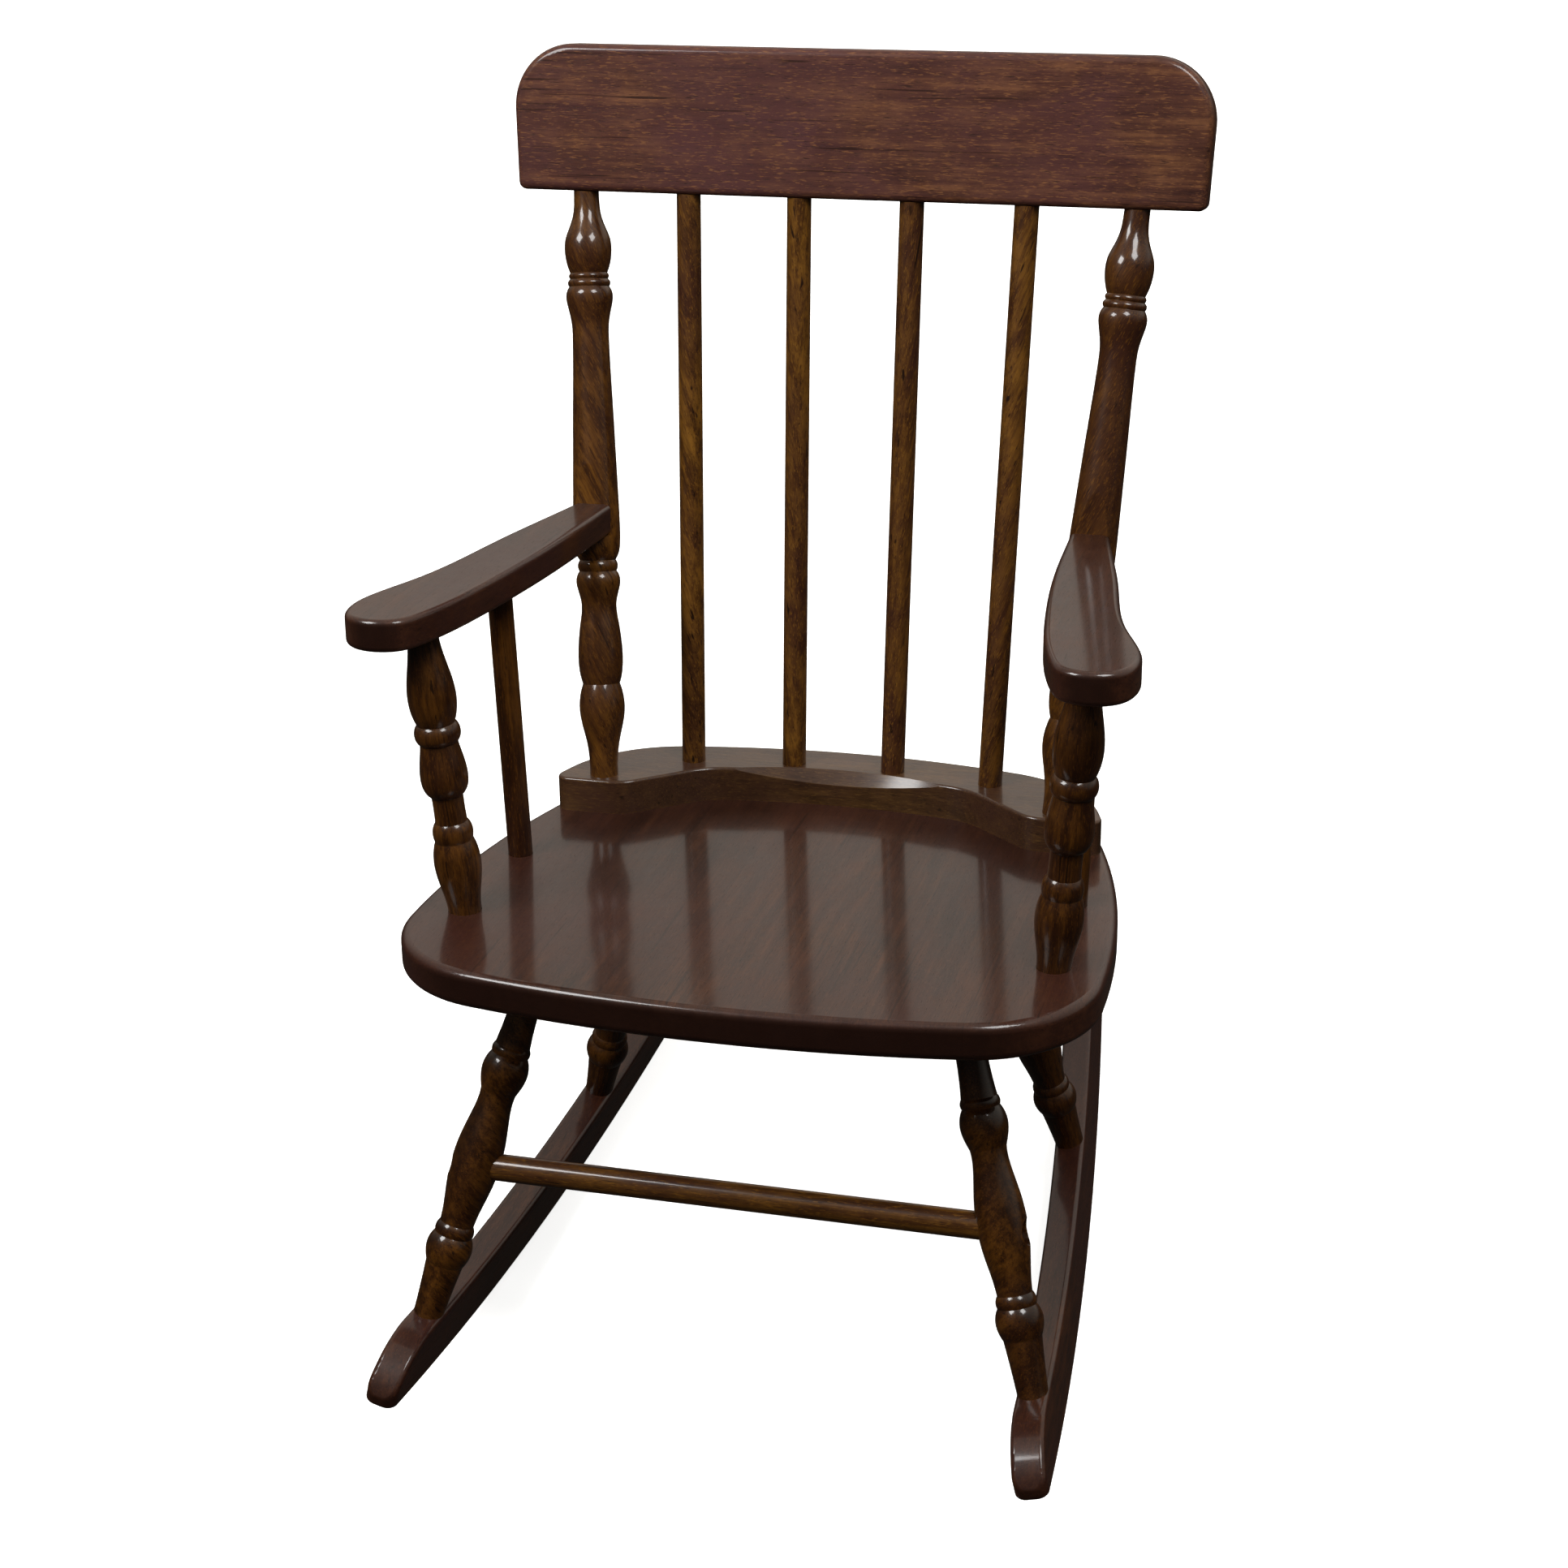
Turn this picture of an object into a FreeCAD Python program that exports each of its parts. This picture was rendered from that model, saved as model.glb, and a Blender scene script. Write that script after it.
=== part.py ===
import FreeCAD, Part
import math
import os

# A child's spindle-back rocking chair in turned and sawn hardwood.
# Every length is in millimetres. The pieces are drawn in the chair's own frame: the origin is on the
# seat's top face, +X towards the sitter's left (the viewer's right), +Y to the back and +Z up.
# At the end the whole chair is laid back about X until it balances on its rockers, and is set on the floor.

vec = FreeCAD.Vector
x_axis = vec(1, 0, 0)
y_axis = vec(0, 1, 0)
z_axis = vec(0, 0, 1)

# ---- fits ----------------------------------------------------------------------------------------
hole_clearance = 0.1          # radial room of every socket round its tenon, dowel or screw
socket_end_gap = 0.5          # room at the bottom of every blind socket
shoulder_gap = 0.05           # room under a shoulder that sits on a curved face
trim_size = 60.0              # reach of the cutters that square an end off
overshoot = 1.0               # how far a cutter runs past the face it opens
steel_against_wood = 11.2     # weight of the screws for their size, for the balance point

# ---- how closely edges are picked and the balance is found ---------------------------------------
place_tolerance = 0.5
plane_tolerance = 1e-4
straight_tolerance = 1e-6     # as a share of an edge's length
points_tested = 5             # along each edge
rolling_span = 0.5            # radians searched to each side of the rolling edge's lowest place
rolling_tolerance = 1e-7
lean_limits = (-20.0, 40.0)   # degrees
lean_tolerance = 1e-6

# ---- seat ----------------------------------------------------------------------------------------
seat_half_width = 205.2       # widest point of each side
seat_widest_y = -112.0        # where the seat is widest
seat_front_y = -204.0         # middle of the front edge
seat_back_y = 146.0           # middle of the back edge
seat_thickness = 22.0
seat_front_radius = 820.0     # plan radii of the four edges
seat_side_radius = 600.0
seat_back_radius = 530.0
seat_front_corner = 75.0      # plan radii of the corners
seat_back_corner = 85.0
seat_round_over = 5.0

# ---- back rail, the shaped board on the back of the seat -----------------------------------------
rail_height = 22.0
rail_inset = 3.5              # how far it stays inside the seat's edge
rail_width = 40.0             # across the middle
rail_lobe_reach = 45.5        # the lobes under the posts stand this far in front of the middle
rail_lobe_shoulder = 16.0     # from the post's foot in to where the lobe's front turns back
rail_lobe_sweep = 46.0        # from there in to where the hollow middle begins
rail_lobe_round = 24.0
rail_hollow_round = 45.0
rail_end_round = 8.0
rail_round_over = 2.0
bevel_depth = 7.0             # eased front edge of the middle stretch, at its widest
bevel_drop = 8.0
bevel_half_length = 90.0      # where the eased edge fades out on each side

# ---- crest rail ----------------------------------------------------------------------------------
crest_underside_z = 377.0     # on the middle plane of the board
crest_setback = 7.0           # behind the seat's back edge
crest_lean = 6.0              # degrees, backwards
crest_overhang = 8.3          # wider than the seat by this at each end of its lower edge
crest_height = 88.5
crest_thickness = 20.0
crest_end_flare = 2.5         # degrees that the ends open out going up
crest_corner = 38.0
crest_foot_round = 5.0        # the two lower corners
crest_round_over = 4.5

# ---- back posts and spindles ---------------------------------------------------------------------
post_top_inset = 41.5         # from the crest rail's end
post_foot_inset = 59.2        # from the seat's widest point
post_foot_setback = 13.5      # behind the front of the rail's lobe
post_tenon_radius = 5.5       # into the crest rail
post_tenon_length = 20.0
post_foot_tenon_radius = 6.0  # into the back rail
post_foot_depth = 16.0
post_shoulder_reach = 8.0     # the turning runs on this far at both ends before its shoulders are cut
spindle_count = 4
spindle_radius = 7.5
spindle_top_spacing = 70.4
spindle_foot_spacing = 64.8
spindle_line_inset = 29.0     # distance of the spindles' feet from the seat's back edge
spindle_tenon_radius = 5.0
spindle_tenon_length = 20.0
spindle_foot_depth = 15.0     # into the back rail

# ---- arms ----------------------------------------------------------------------------------------
# The board is drawn in its own frame: its origin is on the underside, where its square end meets the
# flat on the back post, in line with the post.
arm_underside_z = 172.2       # at that end
arm_thickness = 19.0
arm_rise = 0.7                # degrees, higher at the front
arm_front_setback = 40.0      # its nose behind the seat's front edge
arm_round_over = 3.5
arm_end_lean = 6.0            # degrees, the end is cut to match the lean of the back
post_flat_depth = 8.0         # from the flat back to the post's centre line
arm_flat_reach = 90.0         # how far up the flat on the post may run before it fades out
# outline: (share of the arm's length from the end to the nose, outwards from the line of the post)
arm_inner_edge = ((-0.08, -13.1), (0.0, -12.0), (0.30, -7.8), (0.66, 2.7), (0.92, 17.2))
arm_nose = ((0.977, 25.0), (1.0, 41.7), (0.975, 57.2))
arm_outer_edge = ((0.90, 64.4), (0.79, 59.6), (0.675, 49.0), (0.365, 32.2), (0.0, 12.4), (-0.08, 8.1))

# ---- arm posts and arm spindles ------------------------------------------------------------------
arm_post_setback = 52.0       # behind the arm's nose
arm_post_offset = 32.6        # outwards from the line of the back post
arm_post_foot_inset = 30.4    # from the seat's widest point
arm_post_lean = 5.6           # the foot stands this far behind the top
arm_post_top_depth = 12.0
arm_post_foot_depth = 15.0
arm_spindle_share = 0.46      # from the arm post back towards the arm's end
arm_spindle_offset = 21.4
arm_spindle_foot_inset = 33.2
arm_spindle_lean = -2.0
arm_spindle_radius = 7.5
arm_spindle_top_depth = 12.0
arm_spindle_foot_depth = 14.0

# ---- rockers -------------------------------------------------------------------------------------
# Each board is drawn in its own plane, which leans in over the chair and closes towards the back.
rocker_radius = 1150.0        # rolling edge
rocker_low_setback = 54.0     # that edge is lowest, under the level seat, this far behind the seat's front
rocker_low_z = -262.0
rocker_height = 34.5
rocker_thickness = 19.5
rocker_inset = 28.9           # from the seat's widest point in to the middle of the board, at y = 0
rocker_splay = 3.9            # degrees, closer together at the back
rocker_tilt = 12.5            # degrees, top edges closer together, in line with the spread legs
rocker_front_reach = 39.0     # in front of the seat
rocker_back_reach = 136.0     # behind it
rocker_nose_length = 46.0     # the top edge curves down to the toe over this length, at both ends
rocker_toe_height = 7.0
rocker_tip_round = 7.0
rocker_round_over = 3.0

# ---- legs and stretcher --------------------------------------------------------------------------
front_leg_inset = 80.0        # top of the leg, from the seat's widest point
front_leg_setback = 86.0      # behind the seat's front edge
front_leg_rake = -64.6        # its foot stands this far behind the top, measured along the rocker
rear_leg_inset = 95.4
rear_leg_forward = 108.5      # in front of the seat's back edge
rear_leg_rake = 37.7
leg_top_depth = 16.0          # into the seat
leg_tenon_radius = 6.0        # into the rocker
leg_tenon_length = 12.0
stretcher_radius = 8.0
stretcher_share = 0.58        # how far down the front legs it sits
stretcher_end_inset = 4.0     # each end stops this far short of the leg's centre line

# ---- screws --------------------------------------------------------------------------------------
screw_radius = 2.0
screw_head_radius = 4.0
screw_head_height = 2.6
screw_head_access = 12.0      # open way to each countersunk head
rail_screw_cover = 9.0        # wood left above its tip
arm_screw_reach = 34.0        # into the arm's end grain
plug_radius = 5.0
plug_length = 5.0
plug_sink = 6.0               # the screw's head sits this much deeper than the plug is long
rocker_screw_recess = 7.0     # head below the rolling edge
rocker_screw_bite = 16.0      # above the rocker, inside the leg
rocker_screw_lean = 0.65      # 0 runs square to the rocker, 1 runs along the leg

# ---- turned shapes: (distance down the piece, diameter); a list holds one smooth stretch ---------
back_post_turning = (
    ((0, 15.6), (6, 15.8), (14, 17.2), (22.5, 22.4), (30, 28.0), (37, 29.2), (44, 27.6), (51, 23.2)),  # ball
    ((51, 23.2), (53, 25.0), (54.6, 23.6)),  # bead
    ((54.6, 23.6), (57, 26.6), (59.4, 25.0)),  # bead
    ((59.4, 25.0), (65, 29.2), (71.5, 27.6), (82, 23.4), (91, 22.8), (133, 25.2), (184, 28.3),
     (212, 29.6), (222, 28.9), (228, 26.2), (231, 22.8)),  # long taper
    ((231, 22.8), (234.6, 25.4), (238, 23.6)),  # bead
    ((238, 23.6), (246.5, 27.6), (253, 24.4), (259, 22.2), (270, 24.2), (284, 27.6), (294, 28.4),
     (303, 27.0), (310, 23.6)),  # vase
    ((310, 23.6), (317, 27.4), (325, 28.9), (334, 27.0), (344, 22.4), (353, 19.2), (361, 18.1),
     (368, 18.0)),
)
arm_post_turning = (
    ((0, 18.0), (7, 18.2), (18, 21.0), (32, 26.4), (43.5, 28.0), (51, 26.2), (57.4, 22.2)),  # vase
    ((57.4, 22.2), (60, 25.8), (63.4, 27.0), (66.8, 25.8), (69.4, 22.0)),  # ring
    ((69.4, 22.0), (79, 25.4), (89.5, 27.8), (96, 26.4), (102, 18.6)),  # barrel
    ((102, 18.6), (110, 18.4), (118, 18.8)),  # neck
    ((118, 18.8), (121, 22.4), (125.5, 23.8), (129.5, 22.4)),  # collar
    ((129.5, 22.4), (136, 26.2), (143.5, 27.6), (152, 26.2), (162, 22.4), (169, 20.2),
     (174.3, 19.6)),  # ball
)
leg_turning = (
    ((0, 18.0), (20, 18.0), (36, 18.4), (47, 19.8), (53, 21.0)),
    ((53, 21.0), (56, 23.2), (58.6, 22.0)),  # bead
    ((58.6, 22.0), (63, 26.0), (69, 27.6), (75, 25.6), (81.5, 21.2)),  # ball
    ((81.5, 21.2), (86, 20.6), (96, 22.6), (112, 27.6), (125.5, 29.0), (138, 27.4), (153, 22.6),
     (163.5, 20.4)),
    ((163.5, 20.4), (167, 23.4), (170.6, 22.6)),  # collar
    ((170.6, 22.6), (175, 26.6), (179, 27.6), (184, 26.0), (188.6, 22.4)),  # ball
    ((188.6, 22.4), (200, 20.4), (219, 18.0)),
)


# ---- helpers -------------------------------------------------------------------------------------

def smooth_edge(points):
    curve = Part.BSplineCurve()
    curve.interpolate(points)
    return curve.toShape()


def along_axis(shape, start, end):
    """Stands a shape that was drawn on the -Z axis on the line from start to end."""
    direction = (end - start).normalize()
    turn = FreeCAD.Rotation(vec(0, 0, -1), direction)
    placed = shape.copy()
    placed.Placement = FreeCAD.Placement(start, turn)
    return placed


def rod(start, end, radius, start_reach=0.0, end_reach=0.0):
    direction = (end - start).normalize()
    first = start - direction * start_reach
    length = (end - start).Length + start_reach + end_reach
    return Part.makeCylinder(radius, length, first, direction)


def turned(stretches, start, end, start_reach, end_reach):
    """Revolves a turning between two points, its two ends carried on as plain dowels."""
    drawn_length = stretches[-1][-1][0]
    fit = (end - start).Length / drawn_length
    first_radius = stretches[0][0][1] / 2
    last_radius = stretches[-1][-1][1] / 2
    last = drawn_length * fit
    edges = [
        Part.makeLine(vec(0, 0, start_reach), vec(first_radius, 0, start_reach)),
        Part.makeLine(vec(first_radius, 0, start_reach), vec(first_radius, 0, 0)),
    ]
    for stretch in stretches:
        edges.append(smooth_edge([vec(size / 2, 0, -down * fit) for down, size in stretch]))
    edges.append(Part.makeLine(vec(last_radius, 0, -last), vec(last_radius, 0, -last - end_reach)))
    edges.append(Part.makeLine(vec(last_radius, 0, -last - end_reach), vec(0, 0, -last - end_reach)))
    edges.append(Part.makeLine(vec(0, 0, -last - end_reach), vec(0, 0, start_reach)))
    face = Part.Face(Part.Wire(edges))
    return along_axis(face.revolve(vec(0, 0, 0), vec(0, 0, 1), 360), start, end)


def trimmed(shape, point, outward):
    """Cuts off what stands beyond a plane."""
    return shape.cut(Part.makeCylinder(trim_size, trim_size, point, outward))


def corners_along(shape, direction):
    """The straight edges of a sawn blank that run along one axis."""
    found = []
    for edge in shape.Edges:
        if len(edge.Vertexes) == 2:
            run = edge.Vertexes[1].Point - edge.Vertexes[0].Point
            slant = run.cross(direction).Length
            if run.Length > place_tolerance and slant < straight_tolerance * run.Length:
                found.append(edge)
    return found


def edges_at(shape, direction, level):
    """The edges of a blank that lie in one plane square to the direction."""
    found = []
    for edge in shape.Edges:
        points = edge.discretize(points_tested)
        if all(abs(point.dot(direction) - level) < plane_tolerance for point in points):
            found.append(edge)
    return found


def mirrored(shape):
    return shape.mirror(vec(0, 0, 0), vec(1, 0, 0))


def bored(shape, holes):
    for hole in holes:
        shape = shape.cut(hole)
    return shape


# ---- joint lines and places that several pieces share --------------------------------------------

back_arc_y = seat_back_y - seat_back_radius
rail_front_inset = rail_inset + rail_width
rail_middle_front_y = seat_back_y - rail_front_inset
rail_lobe_front_y = rail_middle_front_y - rail_lobe_reach
post_foot_x = seat_half_width - post_foot_inset
rail_lobe_inner_x = post_foot_x - rail_lobe_shoulder
rail_middle_half = rail_lobe_inner_x - rail_lobe_sweep
crest_half_width = seat_half_width + crest_overhang
crest_y = seat_back_y + crest_setback
crest_up = vec(0, math.sin(math.radians(crest_lean)), math.cos(math.radians(crest_lean)))
arm_turn = FreeCAD.Rotation(x_axis, -arm_rise)
rocker_middle_x = seat_half_width - rocker_inset
rocker_low_y = seat_front_y + rocker_low_setback
rocker_front_y = seat_front_y - rocker_front_reach
rocker_back_y = seat_back_y + rocker_back_reach
rocker_turn = FreeCAD.Rotation(z_axis, rocker_splay).multiply(FreeCAD.Rotation(y_axis, -rocker_tilt))


def back_arc(inset, x):
    """Y of a line that runs inside the seat's back edge, at x."""
    radius = seat_back_radius - inset
    return back_arc_y + math.sqrt(radius ** 2 - x ** 2)


def post_line():
    top = vec(crest_half_width - post_top_inset, crest_y, crest_underside_z)
    return top, vec(post_foot_x, rail_lobe_front_y + post_foot_setback, rail_height)


def post_centre(z):
    top, foot = post_line()
    return foot + (top - foot) * ((z - foot.z) / (top.z - foot.z))


def spindle_step(index):
    """Place of a spindle in its row, counted in spacings from the middle of the chair."""
    return index - (spindle_count - 1) / 2


def spindle_line(index):
    foot_x = spindle_step(index) * spindle_foot_spacing
    top = vec(spindle_step(index) * spindle_top_spacing, crest_y, crest_underside_z)
    return top, vec(foot_x, back_arc(spindle_line_inset, foot_x), rail_height)


def arm_origin():
    centre = post_centre(arm_underside_z)
    return vec(centre.x, centre.y - post_flat_depth, arm_underside_z)


def arm_length():
    return arm_origin().y - (seat_front_y + arm_front_setback)


def placed_on_arm(outwards, along, up=0.0):
    """Carries a point of the arm board's own frame into the chair."""
    return arm_origin() + arm_turn.multVec(vec(outwards, -along, up))


def arm_post_line():
    top = placed_on_arm(arm_post_offset, arm_length() - arm_post_setback)
    return top, vec(seat_half_width - arm_post_foot_inset, top.y + arm_post_lean, 0)


def arm_spindle_line():
    along = (arm_length() - arm_post_setback) * (1 - arm_spindle_share)
    top = placed_on_arm(arm_spindle_offset, along)
    return top, vec(seat_half_width - arm_spindle_foot_inset, top.y + arm_spindle_lean, 0)


def placed_on_rocker(point):
    """Carries a point of the rocker board's own frame into the chair."""
    return vec(rocker_middle_x, 0, rocker_low_z) + rocker_turn.multVec(point)


def rocker_place(along):
    """Middle of the board's top edge, and the way that edge faces there."""
    radius = rocker_radius - rocker_height
    from_low = (along - rocker_low_y) / radius
    upright = math.sqrt(1 - from_low ** 2)
    place = placed_on_rocker(vec(0, along, rocker_radius - radius * upright))
    return place, rocker_turn.multVec(vec(0, -from_low, upright))


def leg_line(inset, top_y, rake):
    """Top of a leg at the seat's underside, its foot on the rocker, and the way the rocker faces there."""
    place, facing = rocker_place(top_y + rake)
    return vec(seat_half_width - inset, top_y, -seat_thickness), place + facing * shoulder_gap, facing


def front_leg_line():
    return leg_line(front_leg_inset, seat_front_y + front_leg_setback, front_leg_rake)


def rear_leg_line():
    return leg_line(rear_leg_inset, seat_back_y - rear_leg_forward, rear_leg_rake)


def stretcher_end():
    top, foot, facing = front_leg_line()
    return top + (foot - top) * stretcher_share - x_axis * stretcher_end_inset


# ---- seat ----------------------------------------------------------------------------------------

def seat_plan(inset, low_z, high_z):
    """The seat's outline as a sharp-edged board: four arcs with rounded corners, drawn inset."""
    discs = (
        (0, seat_front_y + seat_front_radius, seat_front_radius),
        (0, back_arc_y, seat_back_radius),
        (seat_half_width - seat_side_radius, seat_widest_y, seat_side_radius),
        (seat_side_radius - seat_half_width, seat_widest_y, seat_side_radius),
    )
    board = None
    for x, y, radius in discs:
        disc = Part.makeCylinder(radius - inset, high_z - low_z, vec(x, y, low_z))
        if x < 0:
            disc.rotate(vec(x, y, low_z), z_axis, 180)
        board = disc if board is None else board.common(disc)
    corners = corners_along(board, z_axis)
    front = [edge for edge in corners if edge.Vertexes[0].Y < seat_widest_y]
    back = [edge for edge in corners if edge.Vertexes[0].Y > seat_widest_y]
    board = board.makeFillet(seat_front_corner - inset, front)
    back = [edge for edge in corners_along(board, z_axis)
            if any(abs(edge.Vertexes[0].Y - old.Vertexes[0].Y) < place_tolerance for old in back)]
    return board.makeFillet(seat_back_corner - inset, back)


def seat_holes():
    holes = []
    for line, depth, radius in (
        (arm_post_line(), arm_post_foot_depth, turned_radius(arm_post_turning, -1)),
        (arm_spindle_line(), arm_spindle_foot_depth, arm_spindle_radius),
    ):
        holes.append(socket(line[1], line[1] - line[0], radius, depth))
    for top, foot, facing in (front_leg_line(), rear_leg_line()):
        holes.append(socket(top, top - foot, turned_radius(leg_turning, 0), leg_top_depth))
    holes += [screw_hole(*line) for line in rail_screw_lines()]
    return holes


def make_seat():
    board = seat_plan(0, -seat_thickness, 0)
    rims = edges_at(board, z_axis, 0) + edges_at(board, z_axis, -seat_thickness)
    board = board.makeFillet(seat_round_over, rims)
    holes = seat_holes()
    return bored(board, holes + [mirrored(hole) for hole in holes])


# ---- back rail -----------------------------------------------------------------------------------

def rail_front_cutter():
    """Everything in front of the rail: lobes at the ends, a hollow arc in the middle."""
    corner = vec(rail_middle_half, back_arc(rail_front_inset, rail_middle_half), 0)
    far = 2 * seat_half_width
    lobe = vec(rail_lobe_inner_x, rail_lobe_front_y, 0)
    outer = vec(far, rail_lobe_front_y, 0)
    front = vec(far, -far, 0)
    flip = [vec(-point.x, point.y, 0) for point in (front, outer, lobe, corner)]
    arc = Part.Arc(corner, vec(0, rail_middle_front_y, 0), flip[3]).toShape()
    edges = [Part.makeLine(front, outer), Part.makeLine(outer, lobe), Part.makeLine(lobe, corner), arc]
    edges += [Part.makeLine(flip[3], flip[2]), Part.makeLine(flip[2], flip[1])]
    edges += [Part.makeLine(flip[1], flip[0]), Part.makeLine(flip[0], front)]
    face = Part.Face(Part.Wire(edges))
    face.translate(vec(0, 0, -overshoot))
    return face.extrude(vec(0, 0, rail_height + 2 * overshoot))


def rail_bevel_cutter(board):
    """A cone that eases the front edge and runs out on the rounded ends of the hollow."""
    end = board.common(Part.makeLine(vec(bevel_half_length, -seat_half_width, rail_height / 2),
                                     vec(bevel_half_length, seat_back_y, rail_height / 2)))
    middle = rail_middle_front_y + bevel_depth
    sag = middle - end.BoundBox.YMin
    radius = (bevel_half_length ** 2 + sag ** 2) / (2 * sag)
    slope = bevel_depth / bevel_drop
    foot = vec(0, middle - radius, rail_height - bevel_drop)
    cone = Part.makeCone(radius - bevel_depth, radius + slope * overshoot,
                         bevel_drop + overshoot, foot, z_axis)
    return cone.common(Part.makeBox(2 * bevel_half_length, 2 * radius, rail_height,
                                    vec(-bevel_half_length, rail_lobe_front_y, foot.z)))


def make_back_rail():
    board = seat_plan(rail_inset, 0, rail_height).cut(rail_front_cutter())
    rounds = (
        (rail_lobe_inner_x, rail_lobe_front_y, rail_lobe_round),
        (rail_middle_half, back_arc(rail_front_inset, rail_middle_half), rail_hollow_round),
    )
    for x, y, radius in rounds:
        picked = [edge for edge in corners_along(board, z_axis)
                  if abs(abs(edge.Vertexes[0].X) - x) < place_tolerance
                  and abs(edge.Vertexes[0].Y - y) < place_tolerance]
        board = board.makeFillet(radius, picked)
    ends = [edge for edge in corners_along(board, z_axis)
            if abs(edge.Vertexes[0].Y - rail_lobe_front_y) < place_tolerance
            and abs(edge.Vertexes[0].X) > rail_lobe_inner_x + rail_lobe_round]
    board = board.makeFillet(rail_end_round, ends)
    board = board.makeFillet(rail_round_over, edges_at(board, z_axis, rail_height))
    board = board.cut(rail_bevel_cutter(board))
    top, foot = post_line()
    post_hole = socket(foot, foot - top, post_foot_tenon_radius, post_foot_depth)
    holes = [post_hole, mirrored(post_hole)]
    for index in range(spindle_count):
        top, foot = spindle_line(index)
        holes.append(socket(foot, foot - top, spindle_radius, spindle_foot_depth))
    screws = [screw_hole(*line) for line in rail_screw_lines()]
    return bored(board, holes + screws + [mirrored(hole) for hole in screws])


# ---- crest rail ----------------------------------------------------------------------------------

def make_crest_rail():
    flare = crest_height * math.tan(math.radians(crest_end_flare))
    half = crest_thickness / 2
    outline = [(-crest_half_width, 0), (crest_half_width, 0)]
    outline += [(crest_half_width + flare, crest_height), (-crest_half_width - flare, crest_height)]
    points = [vec(x, -half, z) for x, z in outline]
    board = Part.Face(Part.makePolygon(points + points[:1])).extrude(y_axis * crest_thickness)
    for radius, level in ((crest_corner, crest_height), (crest_foot_round, 0)):
        picked = [edge for edge in corners_along(board, y_axis)
                  if abs(edge.Vertexes[0].Z - level) < place_tolerance]
        board = board.makeFillet(radius, picked)
    rims = edges_at(board, y_axis, -half) + edges_at(board, y_axis, half)
    board = board.makeFillet(crest_round_over, rims)
    board.rotate(vec(0, 0, 0), x_axis, -crest_lean)
    board.translate(vec(0, crest_y, crest_underside_z))
    top, foot = post_line()
    post_hole = socket(top, top - foot, post_tenon_radius, post_tenon_length)
    holes = [post_hole, mirrored(post_hole)]
    for index in range(spindle_count):
        top, foot = spindle_line(index)
        holes.append(socket(top, top - foot, spindle_tenon_radius, spindle_tenon_length))
    return bored(board, holes)


# ---- back posts and spindles ---------------------------------------------------------------------

def crest_tenon(body, top, foot, radius, length):
    """Squares a piece off under the crest rail and gives it a tenon."""
    body = trimmed(body, vec(top.x, crest_y, crest_underside_z), crest_up)
    return body.fuse(rod(top, top + (top - foot).normalize() * length, radius, start_reach=radius))


def plain_post():
    top, foot = post_line()
    return turned(back_post_turning, top, foot, post_shoulder_reach, post_shoulder_reach)


def in_front_of_arm_end(low, high, reach):
    """A block on the arm's side of the plane its end is cut to, between two heights of its frame."""
    lean = math.tan(math.radians(arm_end_lean))
    middle = arm_thickness / 2
    corners = [vec(-reach, (low - middle) * lean, low), vec(-reach, (high - middle) * lean, high),
               vec(-reach, -reach, high), vec(-reach, -reach, low)]
    block = Part.Face(Part.makePolygon(corners + corners[:1])).extrude(x_axis * (2 * reach))
    block.Placement = FreeCAD.Placement(arm_origin(), arm_turn)
    return block


def make_back_post():
    top, foot = post_line()
    post = crest_tenon(plain_post(), top, foot, post_tenon_radius, post_tenon_length)
    post = trimmed(post, foot, z_axis * -1)
    down = (foot - top).normalize()
    post = post.fuse(rod(foot, foot + down * post_foot_depth, post_foot_tenon_radius,
                         start_reach=post_foot_depth))
    flat = in_front_of_arm_end(0, arm_flat_reach, arm_flat_reach)
    return bored(post, [flat, screw_hole(*arm_screw_line()), plug_hole()])


def make_spindle(index):
    top, foot = spindle_line(index)
    body = rod(top, foot, spindle_radius, start_reach=spindle_radius, end_reach=spindle_foot_depth)
    return crest_tenon(body, top, foot, spindle_tenon_radius, spindle_tenon_length)


# ---- arms ----------------------------------------------------------------------------------------

def make_arm():
    length = arm_length()
    sides = [[vec(out, -share * length, 0) for share, out in points]
             for points in (arm_inner_edge, arm_nose, arm_outer_edge)]
    edge = smooth_edge(sides[0] + sides[1] + sides[2])
    outline = Part.Wire([edge, Part.makeLine(sides[2][-1], sides[0][0])])
    board = Part.Face(outline).extrude(z_axis * arm_thickness)
    rims = edges_at(board, z_axis, 0) + edges_at(board, z_axis, arm_thickness)
    board = board.makeFillet(arm_round_over, [rim for rim in rims if rim.BoundBox.YMin < 0])
    board.Placement = FreeCAD.Placement(arm_origin(), arm_turn)
    board = board.common(in_front_of_arm_end(-overshoot, arm_thickness + overshoot, 2 * length))
    post_top, post_foot = arm_post_line()
    spindle_top, spindle_foot = arm_spindle_line()
    return bored(board, [
        socket(post_top, post_top - post_foot, turned_radius(arm_post_turning, 0), arm_post_top_depth),
        socket(spindle_top, spindle_top - spindle_foot, arm_spindle_radius, arm_spindle_top_depth),
        screw_hole(*arm_screw_line()),
    ])


def make_arm_post():
    top, foot = arm_post_line()
    return turned(arm_post_turning, top, foot, arm_post_top_depth, arm_post_foot_depth)


def make_arm_spindle():
    top, foot = arm_spindle_line()
    return rod(top, foot, arm_spindle_radius, arm_spindle_top_depth, arm_spindle_foot_depth)


# ---- legs and stretcher --------------------------------------------------------------------------

def make_leg(line):
    top, foot, facing = line
    leg = turned(leg_turning, top, foot, leg_top_depth, leg_tenon_radius)
    leg = trimmed(leg, foot, facing * -1)
    down = (foot - top).normalize()
    leg = leg.fuse(rod(foot, foot + down * leg_tenon_length, leg_tenon_radius,
                       start_reach=leg_tenon_radius))
    return leg.cut(screw_hole(*rocker_screw_line(line)))


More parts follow.
